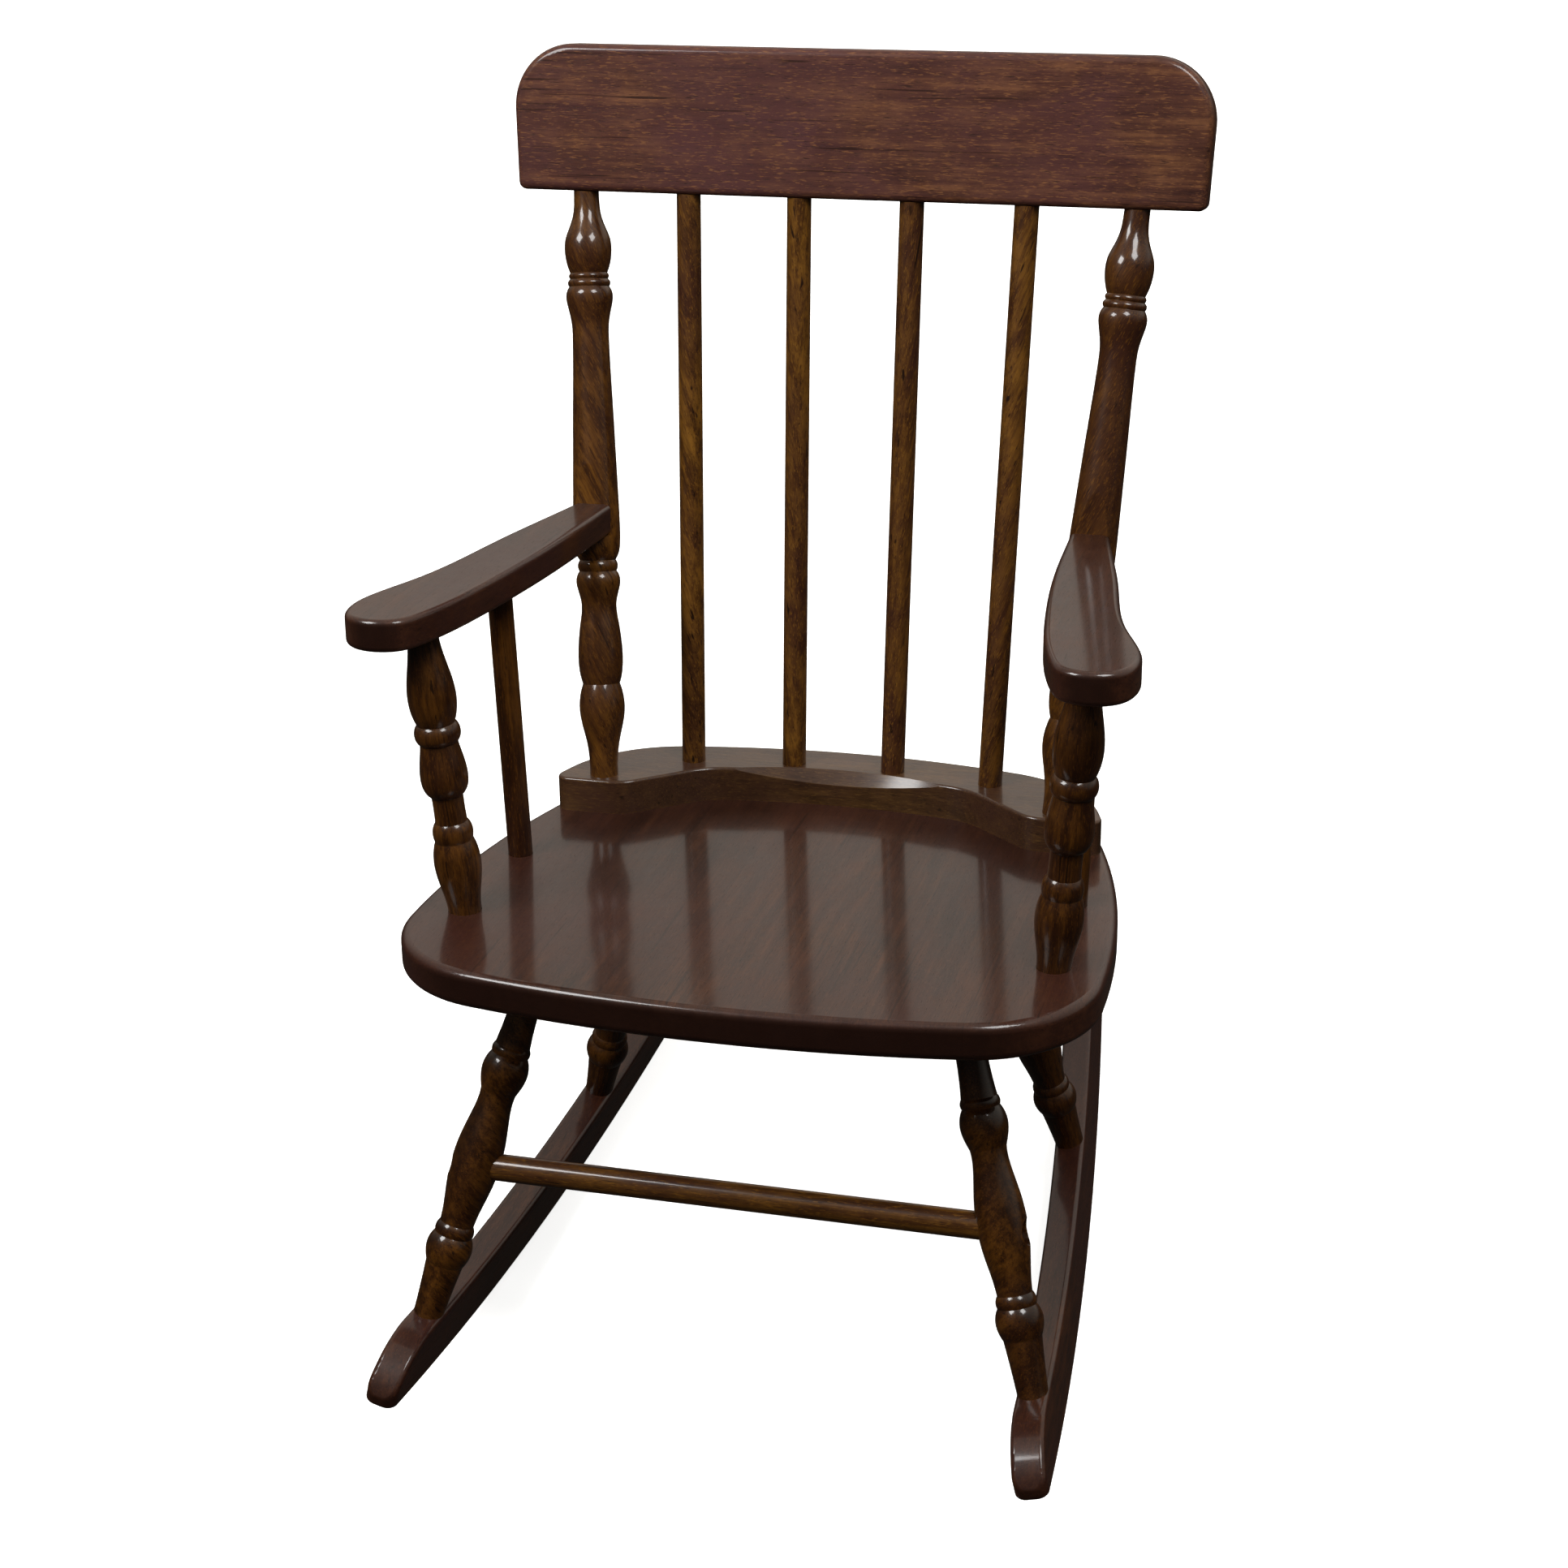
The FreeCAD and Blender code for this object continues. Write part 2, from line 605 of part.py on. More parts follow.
def make_front_leg():
    return make_leg(front_leg_line()).cut(socket(stretcher_end(), x_axis, stretcher_radius, 0, trim_size))


def make_stretcher():
    end = stretcher_end()
    return rod(vec(-end.x, end.y, end.z), end, stretcher_radius)


# ---- rockers -------------------------------------------------------------------------------------

def rocker_outline():
    """The board in its own plane: two arcs about one centre, joined by a curved nose at each end."""
    inner = rocker_radius - rocker_height

    def at(along, radius):
        return vec(0, along, rocker_radius - math.sqrt(radius ** 2 - (along - rocker_low_y) ** 2))

    def nose(end, inwards):
        top = at(end + inwards * rocker_nose_length, inner)
        toe = at(end, rocker_radius - rocker_toe_height)
        from_low = (top.y - rocker_low_y) / inner
        along_edge = vec(0, math.sqrt(1 - from_low ** 2), from_low) * -inwards
        square = vec(0, from_low, -math.sqrt(1 - from_low ** 2))
        chord = toe - top
        radius = chord.Length ** 2 / (2 * chord.dot(square))
        turn = math.asin(chord.dot(along_edge) / radius) / 2
        middle = top + along_edge * (radius * math.sin(turn)) + square * (radius * (1 - math.cos(turn)))
        return top, middle, toe

    front_top, front_middle, front_toe = nose(rocker_front_y, 1)
    back_top, back_middle, back_toe = nose(rocker_back_y, -1)
    front_low = at(rocker_front_y, rocker_radius)
    back_low = at(rocker_back_y, rocker_radius)
    return Part.Wire([
        Part.Arc(front_low, at(rocker_low_y, rocker_radius), back_low).toShape(),
        Part.makeLine(back_low, back_toe),
        Part.Arc(back_toe, back_middle, back_top).toShape(),
        Part.Arc(back_top, at(rocker_low_y, inner), front_top).toShape(),
        Part.Arc(front_top, front_middle, front_toe).toShape(),
        Part.makeLine(front_toe, front_low),
    ])


def rocker_plan(low, high):
    """Seen from above the board is straight, with its four corners rounded off like a fingertip."""
    plan = Part.makeBox(rocker_thickness, rocker_back_y - rocker_front_y, high - low,
                        vec(-rocker_thickness / 2, rocker_front_y, low))
    return plan.makeFillet(rocker_tip_round, corners_along(plan, z_axis))


def make_rocker():
    half = rocker_thickness / 2
    face = Part.Face(rocker_outline())
    face.translate(vec(-half, 0, 0))
    board = face.extrude(x_axis * rocker_thickness)
    box = board.BoundBox
    board = board.common(rocker_plan(box.ZMin - overshoot, box.ZMax + overshoot))
    seams = corners_along(board, z_axis)
    seams += [edge for edge in corners_along(board, x_axis)
              if rocker_front_y + overshoot < edge.Vertexes[0].Y < rocker_back_y - overshoot]
    rims = [edge for edge in board.Edges if not any(edge.isSame(seam) for seam in seams)]
    board = board.makeFillet(rocker_round_over, rims)
    board.Placement = FreeCAD.Placement(placed_on_rocker(vec(0, 0, 0)), rocker_turn)
    holes = []
    for line in (front_leg_line(), rear_leg_line()):
        top, foot, facing = line
        holes.append(socket(foot, foot - top, leg_tenon_radius, leg_tenon_length))
        holes.append(screw_hole(*rocker_screw_line(line)))
    return bored(board, holes)


# ---- screws and plugs ----------------------------------------------------------------------------

def turned_radius(stretches, end):
    """Radius of a turning's plain end: 0 is its top, -1 is its foot."""
    return stretches[end][end][1] / 2


def socket(mouth, inward, radius, depth, end_gap=socket_end_gap):
    """The hole for a dowel end; it also clears the way in front of the mouth."""
    inward = vec(inward).normalize()
    return rod(mouth, mouth + inward * (depth + end_gap), radius + hole_clearance, start_reach=2 * radius)


def rail_screw_lines():
    """One between the two outer spindles' feet and one between the last of them and the post."""
    outer = spindle_step(spindle_count - 1) * spindle_foot_spacing
    lines = []
    for x in (outer - spindle_foot_spacing / 2, (outer + post_foot_x) / 2):
        y = back_arc(rail_inset + rail_width / 2, x)
        lines.append((vec(x, y, -seat_thickness), vec(x, y, rail_height - rail_screw_cover)))
    return lines


def arm_screw_line():
    middle = arm_thickness / 2
    return placed_on_arm(0, -plug_length - plug_sink, middle), placed_on_arm(0, arm_screw_reach, middle)


def rocker_screw_line(line):
    top, foot, facing = line
    up = (top - foot).normalize() * rocker_screw_lean + facing * (1 - rocker_screw_lean)
    up.normalize()
    head = foot - up * ((rocker_height - rocker_screw_recess) / up.dot(facing))
    return head, foot + up * rocker_screw_bite


def screw(head, tip):
    inward = (tip - head).normalize()
    cone = Part.makeCone(screw_head_radius, screw_radius, screw_head_height, head, inward)
    return cone.fuse(rod(head, tip, screw_radius))


def screw_hole(head, tip):
    """Countersunk hole for one screw, open behind the head."""
    inward = (tip - head).normalize()
    wide = screw_head_radius + hole_clearance
    narrow = screw_radius + hole_clearance
    sink = Part.makeCone(wide, narrow, screw_head_height, head, inward)
    return rod(head, tip, narrow, end_reach=socket_end_gap).fuse(sink).fuse(
        rod(head - inward * screw_head_access, head, wide))


def plug_hole():
    head, tip = arm_screw_line()
    return rod(head, head + (head - tip).normalize() * trim_size, plug_radius + hole_clearance)


def make_plug():
    head, tip = arm_screw_line()
    back = (head - tip).normalize()
    plug = rod(head + back * socket_end_gap, head + back * trim_size, plug_radius)
    return plug.common(plain_post())


# ---- setting the chair on the floor --------------------------------------------------------------

def weight_centre(pieces):
    """Balance point of everything, with the steel counted at its weight against the wood."""
    total = 0.0
    moment = vec(0, 0, 0)
    for name, solids in pieces.items():
        heaviness = steel_against_wood if "screws" in name else 1.0
        for solid in solids:
            total += solid.Volume * heaviness
            moment += solid.CenterOfMass * (solid.Volume * heaviness)
    return moment * (1 / total)


def touching_point(lean):
    """Lowest place of the rocker's inner lower edge when the chair leans back; the edge is rounded."""
    turn = FreeCAD.Rotation(x_axis, -lean)
    radius = rocker_radius - rocker_round_over
    across = rocker_round_over - rocker_thickness / 2

    def place(from_low):
        along = rocker_low_y + radius * math.sin(from_low)
        height = rocker_radius - radius * math.cos(from_low)
        return turn.multVec(placed_on_rocker(vec(across, along, height)))

    low, high = -rolling_span, rolling_span
    while high - low > rolling_tolerance:
        third = (high - low) / 3
        if place(low + third).z < place(high - third).z:
            high -= third
        else:
            low += third
    return place(low)


def rolling_lean(centre):
    """How far the chair leans back, in degrees, when its balance point stands over the touching points."""
    low, high = lean_limits
    while high - low > lean_tolerance:
        middle = (low + high) / 2
        balance = FreeCAD.Rotation(x_axis, -middle).multVec(centre)
        if balance.y > touching_point(middle).y:
            low = middle
        else:
            high = middle
    return low


def stand_on_floor(pieces):
    lean = rolling_lean(weight_centre(pieces))
    for solids in pieces.values():
        for solid in solids:
            solid.rotate(vec(0, 0, 0), x_axis, -lean)
    boxes = [solid.optimalBoundingBox(False) for solids in pieces.values() for solid in solids]
    floor = min(box.ZMin for box in boxes)
    front = min(box.YMin for box in boxes)
    back = max(box.YMax for box in boxes)
    shift = vec(0, -(front + back) / 2, -floor)
    for solids in pieces.values():
        for solid in solids:
            solid.translate(shift)
    return lean, shift


# ---- the whole chair -----------------------------------------------------------------------------

def both_sides(pieces, name, shape):
    pieces[name + "_right"] = shape.Solids
    pieces[name + "_left"] = mirrored(shape).Solids


def make_chair():
    pieces = {"seat": make_seat().Solids, "back_rail": make_back_rail().Solids}
    pieces["crest_rail"] = make_crest_rail().Solids
    for index in range(spindle_count):
        pieces["back_spindle_%d" % (index + 1)] = make_spindle(index).Solids
    both_sides(pieces, "back_post", make_back_post())
    both_sides(pieces, "arm", make_arm())
    both_sides(pieces, "arm_post", make_arm_post())
    both_sides(pieces, "arm_spindle", make_arm_spindle())
    both_sides(pieces, "front_leg", make_front_leg())
    both_sides(pieces, "rear_leg", make_leg(rear_leg_line()))
    both_sides(pieces, "rocker", make_rocker())
    pieces["front_stretcher"] = make_stretcher().Solids
    arm_screw = screw(*arm_screw_line())
    rail_screws = [screw(*line) for line in rail_screw_lines()]
    rocker_screws = [screw(*rocker_screw_line(line)) for line in (front_leg_line(), rear_leg_line())]
    for name, group in (("arm_screws", [arm_screw]), ("arm_plugs", [make_plug()]),
                        ("rail_screws", rail_screws), ("rocker_screws", rocker_screws)):
        pieces[name] = [solid for one in group for solid in one.Solids + mirrored(one).Solids]
    return pieces


chair = make_chair()
chair_lean, chair_shift = stand_on_floor(chair)
os.makedirs("parts", exist_ok=True)
for node, solids in chair.items():
    shape = solids[0] if len(solids) == 1 else Part.makeCompound(solids)
    shape.exportStep("parts/%s.step" % node)
    print(node, len(shape.Solids), "valid" if shape.isValid() else "NOT VALID", round(shape.Volume))
print("leans back %.3f degrees, moved by y %.3f z %.3f" % (chair_lean, chair_shift.y, chair_shift.z))
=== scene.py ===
import math

import bpy
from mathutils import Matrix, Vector

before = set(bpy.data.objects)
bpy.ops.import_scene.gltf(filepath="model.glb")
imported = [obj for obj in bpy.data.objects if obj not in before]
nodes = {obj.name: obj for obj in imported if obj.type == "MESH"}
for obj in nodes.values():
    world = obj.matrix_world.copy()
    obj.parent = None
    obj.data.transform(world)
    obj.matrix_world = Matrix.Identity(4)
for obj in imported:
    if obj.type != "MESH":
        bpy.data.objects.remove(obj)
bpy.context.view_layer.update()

# camera: place in metres, turn in degrees, lens in millimetres
camera = {
    "place": (0.40464, -1.36900, 1.20144),
    "turn": (58.2745, 3.3244, 14.2832),
    "lens": 65.32,
    "shift": (-0.00422, -0.00076),
}

# studio: two windows high over the chair, a fill over the camera and one behind, power in watts
# only the windows are mirrored in the lacquer
studio = {
    "floorTone": (0.80, 0.80, 0.795),
    "floorCloud": (0.83, 0.83, 0.825),
    "floorGlow": 0.98,
    "floorSize": 13.0,
    "domeSize": 9.0,
    "domeGlow": 1.1,
    "wallTone": (1.0, 0.935, 0.835),
    "wallFront": 0.03,  # what the lacquer mirrors from in front of the chair
    "wallBack": 0.80,   # and from behind and above it
    "wallBelow": 0.02,
    "wallAim": (0.22, 0.75, 0.62),  # towards the brightest part of the walls
    "boxes": {
        "windowLeft": {"place": (-0.85, -0.58, 1.66), "aim": (0.0, 0.0, 0.40),
                       "size": (0.60, 0.60), "power": 24.0, "mirrored": True},
        "windowRight": {"place": (0.74, -0.36, 1.84), "aim": (0.0, 0.0, 0.40),
                        "size": (0.60, 0.60), "power": 19.0, "mirrored": True},
        "fill": {"place": (-0.4, -2.1, 2.3), "aim": (0.0, 0.0, 0.45),
                 "size": (2.6, 1.4), "power": 20.0, "mirrored": False},
        "rear": {"place": (0.2, 2.3, 0.9), "aim": (0.0, 0.0, 0.35),
                 "size": (2.4, 1.2), "power": 30.0, "mirrored": False},
    },
}

# stain: one espresso finish, with its own cast on each kind of piece; the tone for legs, arm posts and arm
# spindles is the turned stain darkened as painted shade
# dark fills the grain, middle is the stain itself, light is where it was wiped thin
stain = {
    "crest": {"dark": (0.018, 0.0065, 0.0045), "middle": (0.058, 0.0215, 0.0105),
              "light": (0.170, 0.070, 0.026), "cast": (0.056, 0.0205, 0.0200)},
    "seat": {"dark": (0.0100, 0.0036, 0.0022), "middle": (0.026, 0.0092, 0.0042),
             "light": (0.056, 0.020, 0.008), "cast": (0.028, 0.0095, 0.0068)},
    "rail": {"dark": (0.013, 0.0062, 0.0026), "middle": (0.044, 0.0200, 0.0062),
             "light": (0.100, 0.050, 0.014), "cast": (0.040, 0.0165, 0.0105)},
    "turned": {"dark": (0.0090, 0.0030, 0.0012), "middle": (0.037, 0.0130, 0.0024),
               "light": (0.120, 0.047, 0.006), "cast": (0.026, 0.0085, 0.0046)},
    # painted shade: the turned stain made darker for the legs, arm posts and arm spindles, standing in for
    # the shade under the seat and arms
    "shadedTurned": {"dark": (0.0060, 0.0020, 0.0008), "middle": (0.024, 0.0078, 0.0013),
            "light": (0.085, 0.031, 0.004), "cast": (0.016, 0.0049, 0.0026)},
    "dowel": {"dark": (0.0085, 0.0030, 0.0012), "middle": (0.044, 0.0165, 0.0028),
              "light": (0.145, 0.062, 0.008), "cast": (0.027, 0.0086, 0.0060)},
    "rocker": {"dark": (0.010, 0.0034, 0.0018), "middle": (0.028, 0.0088, 0.0038),
               "light": (0.064, 0.021, 0.007), "cast": (0.025, 0.0080, 0.0060)},
}

# habit: how strongly each wood shows its rings and its streaks, how open its pores are,
# and how much stain its end grain drinks
habit = {
    "crest": (0.18, 1.00, 1.25, 0.45),
    "seat": (0.16, 0.90, 0.90, 0.85),
    "rail": (0.14, 0.85, 1.10, 0.55),
    "turned": (0.05, 1.35, 1.10, 0.70),
    "shadedTurned": (0.05, 1.35, 1.10, 0.70),
    "dowel": (0.03, 1.60, 1.30, 0.50),
    "rocker": (0.16, 0.90, 0.90, 0.60),
}

# grain: sizes in cycles per metre across and along the wood
grain = {
    "figureAcross": 26.0,
    "figureAlong": 3.2,
    "streakAcross": 190.0,
    "streakAlong": 7.0,
    "poreAcross": 1500.0,
    "poreAlong": 130.0,
    "fleckAcross": 1250.0,
    "fleckAlong": 185.0,
    "checkAcross": 460.0,  # checks are the fine dark splits that run along the wood
    "checkAlong": 11.0,
    "mottleAcross": 24.0,
    "mottleAlong": 14.0,
    "smearAcross": 60.0,  # uneven wiping of the stain
    "smearAlong": 40.0,
    "driftAcross": 5.0,   # slow change of tone over the whole piece
    "driftAlong": 6.0,
    "ringCount": 34.0,
    "boardWidth": 0.086,  # the seat's glued boards, in metres
    "seamWidth": 0.00035,
    "edgeWidth": 0.0016,
    "grooveShadeReach": 0.006,
}

# lacquer: a thin clear coat over the stained wood, bump distances in metres
lacquer = {
    "specular": 0.12,
    "roughness": 0.11,
    "ior": 1.5,
    "grainBump": (0.22, 0.00022),
    "coatBump": (0.05, 0.0003),
}


def link(tree, fromSocket, toSocket):
    tree.links.new(fromSocket, toSocket)


def addNode(tree, kind, place, **settings):
    node = tree.nodes.new(kind)
    node.location = place
    for name, value in settings.items():
        setattr(node, name, value)
    return node


def addMath(tree, operation, place, first, second=None, third=None, clamp=False):
    node = addNode(tree, "ShaderNodeMath", place, operation=operation, use_clamp=clamp)
    for index, value in enumerate((first, second, third)):
        if value is None:
            continue
        if isinstance(value, (int, float)):
            node.inputs[index].default_value = value
        else:
            link(tree, value, node.inputs[index])
    return node.outputs[0]


def addMix(tree, place, share, first, second, blend="MIX"):
    node = addNode(tree, "ShaderNodeMix", place, data_type="RGBA", blend_type=blend)
    for name, value in (("Factor", share), ("A", first), ("B", second)):
        socket = node.inputs[name]
        if isinstance(value, (int, float)):
            socket.default_value = value
        elif isinstance(value, tuple):
            socket.default_value = (*value, 1.0)
        else:
            link(tree, value, socket)
    return node.outputs["Result"]


def addNoise(tree, place, coordinate, across, along, detail=4.0, roughness=0.55, distortion=0.0):
    # the wood runs along X of the coordinate it is given
    stretch = addNode(tree, "ShaderNodeMapping", place)
    stretch.inputs["Scale"].default_value = (along, across, across)
    link(tree, coordinate, stretch.inputs["Vector"])
    noise = addNode(tree, "ShaderNodeTexNoise", (place[0] + 200, place[1]))
    noise.inputs["Scale"].default_value = 1.0
    noise.inputs["Detail"].default_value = detail
    noise.inputs["Roughness"].default_value = roughness
    noise.inputs["Distortion"].default_value = distortion
    link(tree, stretch.outputs[0], noise.inputs["Vector"])
    return noise.outputs["Fac"]


def addRange(tree, place, value, low, high, toLow=0.0, toHigh=1.0):
    node = addNode(tree, "ShaderNodeMapRange", place)
    node.inputs["From Min"].default_value = low
    node.inputs["From Max"].default_value = high
    node.inputs["To Min"].default_value = toLow
    node.inputs["To Max"].default_value = toHigh
    link(tree, value, node.inputs["Value"])
    return node.outputs[0]


def makeStainedWood(name, tones, direction, shift, roughness, coat, boards, rings, streaks, pores, thirst):
    material = bpy.data.materials.new(name)
    material.use_nodes = True
    tree = material.node_tree
    tree.nodes.clear()
    output = addNode(tree, "ShaderNodeOutputMaterial", (1900, 0))
    shader = addNode(tree, "ShaderNodeBsdfPrincipled", (1600, 0))
    link(tree, shader.outputs[0], output.inputs["Surface"])

    # grain lies along X once the piece's own direction is turned onto it
    place = addNode(tree, "ShaderNodeTexCoord", (-1500, 0))
    turn = addNode(tree, "ShaderNodeMapping", (-1300, 0), vector_type="TEXTURE")
    turn.inputs["Rotation"].default_value = direction.to_track_quat("X", "Z").to_euler()
    turn.inputs["Location"].default_value = shift
    link(tree, place.outputs["Object"], turn.inputs["Vector"])
    wood = turn.outputs[0]

    figure = addNoise(tree, (-1000, 500), wood, grain["figureAcross"], grain["figureAlong"], 3.0, 0.5, 0.6)
    streak = addNoise(tree, (-1000, 250), wood, grain["streakAcross"], grain["streakAlong"], 5.0, 0.62, 0.25)
    fine = addNoise(tree, (-1000, 0), wood, 3.4 * grain["streakAcross"], 4.0 * grain["streakAlong"], 3.0, 0.6)
    pore = addNoise(tree, (-1000, -250), wood, grain["poreAcross"], grain["poreAlong"], 2.0, 0.6)
    mottle = addNoise(tree, (-1000, -500), wood, grain["mottleAcross"], grain["mottleAlong"], 4.0, 0.6, 0.8)
    smear = addNoise(tree, (-1000, -750), wood, grain["smearAcross"], grain["smearAlong"], 5.0, 0.65)
    drift = addNoise(tree, (-1000, -1000), wood, grain["driftAcross"], grain["driftAlong"], 2.0, 0.5)
    fleck = addNoise(tree, (-1000, -1250), wood, grain["fleckAcross"], grain["fleckAlong"], 2.0, 0.55)
    check = addNoise(tree, (-1000, -1500), wood, grain["checkAcross"], grain["checkAlong"], 2.0, 0.5, 0.3)

    # a wide top is glued up from several boards, each a little lighter or darker than the next
    if boards:
        across = addNode(tree, "ShaderNodeSeparateXYZ", (-1250, 900))
        link(tree, place.outputs["Object"], across.inputs[0])
        count = addMath(tree, "MULTIPLY_ADD", (-1100, 900), across.outputs["X"], 1.0 / boards, 0.37)
        number = addMath(tree, "FLOOR", (-950, 900), count)
        toss = addNode(tree, "ShaderNodeTexWhiteNoise", (-800, 900), noise_dimensions="1D")
        link(tree, number, toss.inputs["W"])
        boardTone = addMath(tree, "SUBTRACT", (-650, 900), toss.outputs["Value"], 0.5)
        within = addMath(tree, "PINGPONG", (-800, 1050), count, 0.5)
        seam = addRange(tree, (-650, 1050), within, 0.0, grain["seamWidth"] / boards, 1.0, 0.0)

    # rings of the tree, as soft bands that the streaks break up
    ring = addMath(tree, "MULTIPLY_ADD", (-500, 500), figure, grain["ringCount"], 0.0)
    ring = addMath(tree, "SINE", (-350, 500), ring)
    ring = addMath(tree, "MULTIPLY_ADD", (-200, 500), ring, 0.5, 0.5)
    streak = addRange(tree, (-500, 250), streak, 0.34, 0.68)
    fine = addRange(tree, (-500, 0), fine, 0.30, 0.72)
    poreMask = addRange(tree, (-500, -250), pore, 0.60, 0.70)
    fleckMask = addRange(tree, (-500, -1250), fleck, 0.57, 0.66)
    checkMask = addRange(tree, (-500, -1500), check, 0.66, 0.72)
    drift = addRange(tree, (-500, -1000), drift, 0.38, 0.62)
    patch = addRange(tree, (-500, -500), mottle, 0.38, 0.66)
    smear = addRange(tree, (-500, -750), smear, 0.35, 0.70)

    share = addMath(tree, "MULTIPLY_ADD", (-50, 400), ring, rings, 0.22 - rings)
    share = addMath(tree, "MULTIPLY_ADD", (100, 400), streak, 0.32 * streaks, share)
    share = addMath(tree, "MULTIPLY_ADD", (250, 400), fine, 0.26, share)
    share = addMath(tree, "MULTIPLY_ADD", (400, 400), smear, 0.26, share)
    if boards:
        share = addMath(tree, "MULTIPLY_ADD", (480, 400), boardTone, 0.16, share)

    ramp = addNode(tree, "ShaderNodeValToRGB", (560, 400))
    ramp.color_ramp.elements[0].position = 0.18
    ramp.color_ramp.elements[0].color = (*tones["dark"], 1.0)
    ramp.color_ramp.elements[1].position = 0.92
    ramp.color_ramp.elements[1].color = (*tones["light"], 1.0)
    middle = ramp.color_ramp.elements.new(0.52)
    middle.color = (*tones["middle"], 1.0)
    link(tree, share, ramp.inputs["Fac"])

    cast = addMath(tree, "MULTIPLY", (560, 100), patch, 0.40)
    cast = addMath(tree, "MULTIPLY_ADD", (700, 100), drift, 0.55, cast, clamp=True)
    colour = addMix(tree, (860, 300), cast, ramp.outputs["Color"], tones["cast"])
    colour = addMix(tree, (930, 300), addMath(tree, "MULTIPLY", (780, 50), fleckMask, 0.42 * pores),
                    colour, tones["light"])
    colour = addMix(tree, (1000, 300), addMath(tree, "MULTIPLY", (850, 100), poreMask, 0.65 * pores),
                    colour, tones["dark"])
    colour = addMix(tree, (1070, 300), addMath(tree, "MULTIPLY", (920, 100), checkMask, 0.75 * pores),
                    colour, tones["dark"])
    if boards:
        colour = addMix(tree, (1100, 300), addMath(tree, "MULTIPLY", (980, 500), seam, 0.7),
                        colour, tones["dark"])

    # end grain drinks more stain
    lookAlong = addNode(tree, "ShaderNodeVectorMath", (300, -300), operation="DOT_PRODUCT")
    link(tree, place.outputs["Normal"], lookAlong.inputs[0])
    lookAlong.inputs[1].default_value = direction
    endGrain = addRange(tree, (500, -300), addMath(tree, "ABSOLUTE", (400, -300), lookAlong.outputs["Value"]),
                        0.72, 0.96, 0.0, thirst)
    colour = addMix(tree, (1140, 300), endGrain, colour, tones["dark"])

    # painted shade: darker where nearby surfaces close in over the grooves; the edges are lighter, partly
    # stain rubbed thin by handling and partly a painted highlight
    occlusionTest = addNode(tree, "ShaderNodeAmbientOcclusion", (300, -500), samples=4, only_local=True)
    occlusionTest.inputs["Distance"].default_value = grain["grooveShadeReach"]
    # painted shade in the grooves, from the occlusion test
    grooveShade = addRange(tree, (500, -500), occlusionTest.outputs["AO"], 0.45, 0.95, 0.6, 0.0)
    colour = addMix(tree, (1280, 300), grooveShade, colour, tones["dark"])
    rounding = addNode(tree, "ShaderNodeBevel", (300, -700), samples=4)
    rounding.inputs["Radius"].default_value = grain["edgeWidth"]
    surface = addNode(tree, "ShaderNodeNewGeometry", (300, -900))
    bend = addNode(tree, "ShaderNodeVectorMath", (480, -700), operation="DOT_PRODUCT")
    link(tree, rounding.outputs[0], bend.inputs[0])
    link(tree, surface.outputs["Normal"], bend.inputs[1])
    edge = addRange(tree, (640, -700), bend.outputs["Value"], 0.985, 0.90, 0.0, 1.0)
    # lighter edges: partly stain rubbed thin, partly a painted highlight along the edges
    wearAndSheen = addMath(tree, "MULTIPLY", (800, -700), edge, smear)
    colour = addMix(tree, (1420, 300), addMath(tree, "MULTIPLY", (950, -700), wearAndSheen, 0.5),
                    colour, tones["light"])
    link(tree, colour, shader.inputs["Base Color"])

    rough = addMath(tree, "MULTIPLY_ADD", (1000, -100), smear, 0.10, roughness)
    rough = addMath(tree, "MULTIPLY_ADD", (1150, -100), poreMask, 0.12, rough)
    rough = addMath(tree, "MULTIPLY_ADD", (1300, -100), wearAndSheen, 0.10, rough)
    link(tree, rough, shader.inputs["Roughness"])
    shader.inputs["Specular IOR Level"].default_value = lacquer["specular"]
    shader.inputs["Coat Weight"].default_value = coat
    shader.inputs["Coat Roughness"].default_value = lacquer["roughness"]
    shader.inputs["Coat IOR"].default_value = lacquer["ior"]

    height = addMath(tree, "MULTIPLY_ADD", (1000, -350), streak, 0.25, 0.0)
    height = addMath(tree, "MULTIPLY_ADD", (1150, -350), fine, 0.20, height)
    height = addMath(tree, "MULTIPLY_ADD", (1300, -350), poreMask, -0.8 * pores, height)
    bump = addNode(tree, "ShaderNodeBump", (1450, -350))
    bump.inputs["Strength"].default_value, bump.inputs["Distance"].default_value = lacquer["grainBump"]
    link(tree, height, bump.inputs["Height"])
    link(tree, bump.outputs[0], shader.inputs["Normal"])
    soft = addNode(tree, "ShaderNodeBump", (1450, -550))
    soft.inputs["Strength"].default_value, soft.inputs["Distance"].default_value = lacquer["coatBump"]
    link(tree, mottle, soft.inputs["Height"])
    link(tree, soft.outputs[0], shader.inputs["Coat Normal"])
    return material


def makeScrewSteel(name):
    material = bpy.data.materials.new(name)
    material.use_nodes = True
    tree = material.node_tree
    shader = tree.nodes["Principled BSDF"]
    place = addNode(tree, "ShaderNodeTexCoord", (-900, 0))
    cloud = addNoise(tree, (-700, 0), place.outputs["Object"], 700.0, 700.0, 4.0, 0.6)
    scratch = addNoise(tree, (-700, -300), place.outputs["Object"], 4200.0, 260.0, 2.0, 0.5)
    colour = addMix(tree, (-150, 100), cloud, (0.42, 0.37, 0.24), (0.62, 0.58, 0.46))
    link(tree, colour, shader.inputs["Base Color"])
    shader.inputs["Metallic"].default_value = 1.0
    link(tree, addRange(tree, (-150, -100), cloud, 0.3, 0.7, 0.24, 0.42), shader.inputs["Roughness"])
    bump = addNode(tree, "ShaderNodeBump", (-150, -300))
    bump.inputs["Strength"].default_value = 0.15
    bump.inputs["Distance"].default_value = 0.0001
    link(tree, scratch, bump.inputs["Height"])
    link(tree, bump.outputs[0], shader.inputs["Normal"])
    return material


